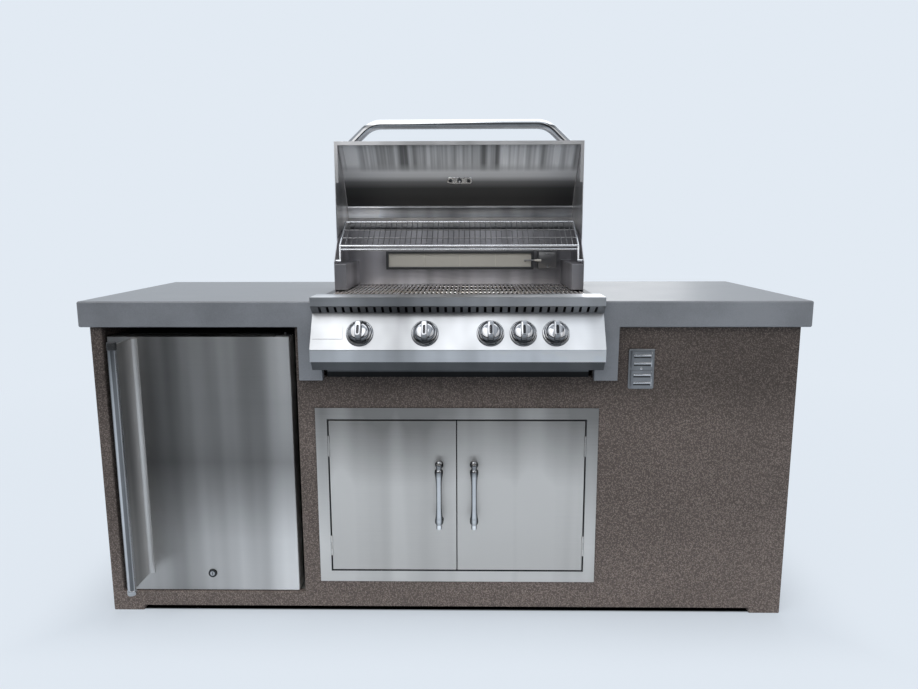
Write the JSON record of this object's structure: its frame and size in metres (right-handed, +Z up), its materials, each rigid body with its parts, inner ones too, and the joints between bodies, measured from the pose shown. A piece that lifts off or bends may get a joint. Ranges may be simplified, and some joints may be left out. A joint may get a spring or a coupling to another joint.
{
  "type": "outdoor kitchen island",
  "caption": "Stucco outdoor kitchen cabinet with a concrete counter, a built-in gas grill with an open roll hood, a compact fridge, access doors and a covered outlet.",
  "frame": {"origin": "on the floor, at the bottom centre of the whole island with its handles", "axes": "+X runs along the counter to the right of a person who faces the grill, -Y points to that person, +Z is up"},
  "size_m": [1.981, 0.7556, 1.4286],
  "materials": {
    "stucco": "rough sanded stucco",
    "frame_steel": "zinc plated tube",
    "board": "cement board",
    "counter": "sealed concrete",
    "dark_steel": "dark coated sheet",
    "white_plastic": "moulded liner",
    "shelf_glass": "clear",
    "stainless": "brushed stainless",
    "polished": "polished",
    "black_plastic": "black",
    "brass": "plain",
    "cast": "satin stainless rod and tube",
    "tile": "pale ceramic"
  },
  "bodies": {
    "island": {"front_wall": "stucco", "back_wall": "stucco", "left_wall": "stucco", "right_wall": "stucco", "floor_frame": "frame_steel", "cabinet_floor": "board", "bay_divider": "board", "countertop": "counter", "fridge_casing": "dark_steel", "fridge_liner": "white_plastic", "fridge_lower_shelf": "shelf_glass", "fridge_upper_shelf": "shelf_glass", "fridge_base": "dark_steel", "fridge_top_hinge": "dark_steel", "fridge_bottom_hinge": "dark_steel", "door_surround": "stainless", "door_catch": "black_plastic", "outlet_plate": "stainless", "outlet_receptacle": "black_plastic", "control_panel": "stainless", "gas_manifold": "brass", "firebox": "stainless", "burner_tube_1": "cast", "burner_tube_2": "cast", "burner_tube_3": "cast", "burner_tube_4": "cast", "heat_tent_1": "stainless", "heat_tent_2": "stainless", "heat_tent_3": "stainless", "heat_tent_4": "stainless", "cooking_grate_1": "cast", "cooking_grate_2": "cast", "cooking_grate_3": "cast", "cooking_grate_4": "cast", "rear_housing": "stainless", "rear_burner_housing": "stainless", "rear_burner_tiles": "tile", "rear_igniter": "dark_steel"},
    "hood": {"hood_shell": "stainless", "hood_handle": "polished", "hood_thermometer": "polished"},
    "rack": {"warming_rack": "polished"},
    "fridge_door": {"fridge_door": "stainless", "fridge_door_liner": "white_plastic", "fridge_handle_fin": "stainless", "fridge_handle_tube": "polished", "fridge_lock_bezel": "polished"},
    "lock": {"fridge_lock_cylinder": "polished"},
    "left_door": {"left_access_door": "stainless", "left_door_pull": "polished"},
    "right_door": {"right_access_door": "stainless", "right_door_pull": "polished"},
    "upper_lid": {"upper_outlet_lid": "stainless"},
    "lower_lid": {"lower_outlet_lid": "stainless"},
    "tray": {"grease_tray": "dark_steel"},
    "knob_1": {"burner_knob_1": "polished"},
    "knob_2": {"burner_knob_2": "polished"},
    "knob_3": {"burner_knob_3": "polished"},
    "knob_4": {"burner_knob_4": "polished"},
    "knob_5": {"burner_knob_5": "polished"}
  },
  "joints": [
    {"name": "hood_hinge", "type": "hinge", "parent": "island", "child": "hood", "pos_m": [0.041, 0.13575, 1.04], "axis": [1, 0, 0], "range_deg": [0, 90]},
    {"name": "rack_swing", "type": "hinge", "parent": "island", "child": "rack", "pos_m": [0.041, -0.04425, 1.01], "axis": [1, 0, 0], "range_deg": [-32, 0]},
    {"name": "knob_1_turn", "type": "hinge", "parent": "island", "child": "knob_1", "pos_m": [-0.21886, -0.31914, 0.832], "axis": [0, -0.8659, 0.5003], "range_deg": [0, 180]},
    {"name": "knob_2_turn", "type": "hinge", "parent": "island", "child": "knob_2", "pos_m": [-0.04538, -0.31914, 0.832], "axis": [0, -0.8659, 0.5003], "range_deg": [0, 180]},
    {"name": "knob_3_turn", "type": "hinge", "parent": "island", "child": "knob_3", "pos_m": [0.12811, -0.31914, 0.832], "axis": [0, -0.8659, 0.5003], "range_deg": [0, 180]},
    {"name": "knob_4_turn", "type": "hinge", "parent": "island", "child": "knob_4", "pos_m": [0.21522, -0.31914, 0.832], "axis": [0, -0.8659, 0.5003], "range_deg": [0, 180]},
    {"name": "knob_5_turn", "type": "hinge", "parent": "island", "child": "knob_5", "pos_m": [0.30159, -0.31914, 0.832], "axis": [0, -0.8659, 0.5003], "range_deg": [0, 180]},
    {"name": "fridge_door_hinge", "type": "hinge", "parent": "island", "child": "fridge_door", "pos_m": [-0.439, -0.23225, 0.437], "axis": [0, 0, 1], "range_deg": [0, 100]},
    {"name": "lock_turn", "type": "hinge", "parent": "fridge_door", "child": "lock", "pos_m": [-0.677, -0.25225, 0.114], "axis": [0, -1, 0], "range_deg": [0, 90]},
    {"name": "left_door_hinge", "type": "hinge", "parent": "island", "child": "left_door", "pos_m": [-0.3232, -0.26125, 0.354], "axis": [0, 0, 1], "range_deg": [-105, 0]},
    {"name": "right_door_hinge", "type": "hinge", "parent": "island", "child": "right_door", "pos_m": [0.3965, -0.26125, 0.354], "axis": [0, 0, 1], "range_deg": [0, 105]},
    {"name": "upper_lid_hinge", "type": "hinge", "parent": "island", "child": "upper_lid", "pos_m": [0.517, -0.26485, 0.752], "axis": [0, 0, 1], "range_deg": [-110, 0]},
    {"name": "lower_lid_hinge", "type": "hinge", "parent": "island", "child": "lower_lid", "pos_m": [0.517, -0.26485, 0.698], "axis": [0, 0, 1], "range_deg": [-110, 0]},
    {"name": "tray_slide", "type": "slide", "parent": "island", "child": "tray", "axis": [0, -1, 0], "range_m": [0, 0.25]}
  ],
  "couplings": [
    {"joint": "rack_swing", "follows": "hood_hinge", "ratio": -0.35556}
  ]
}
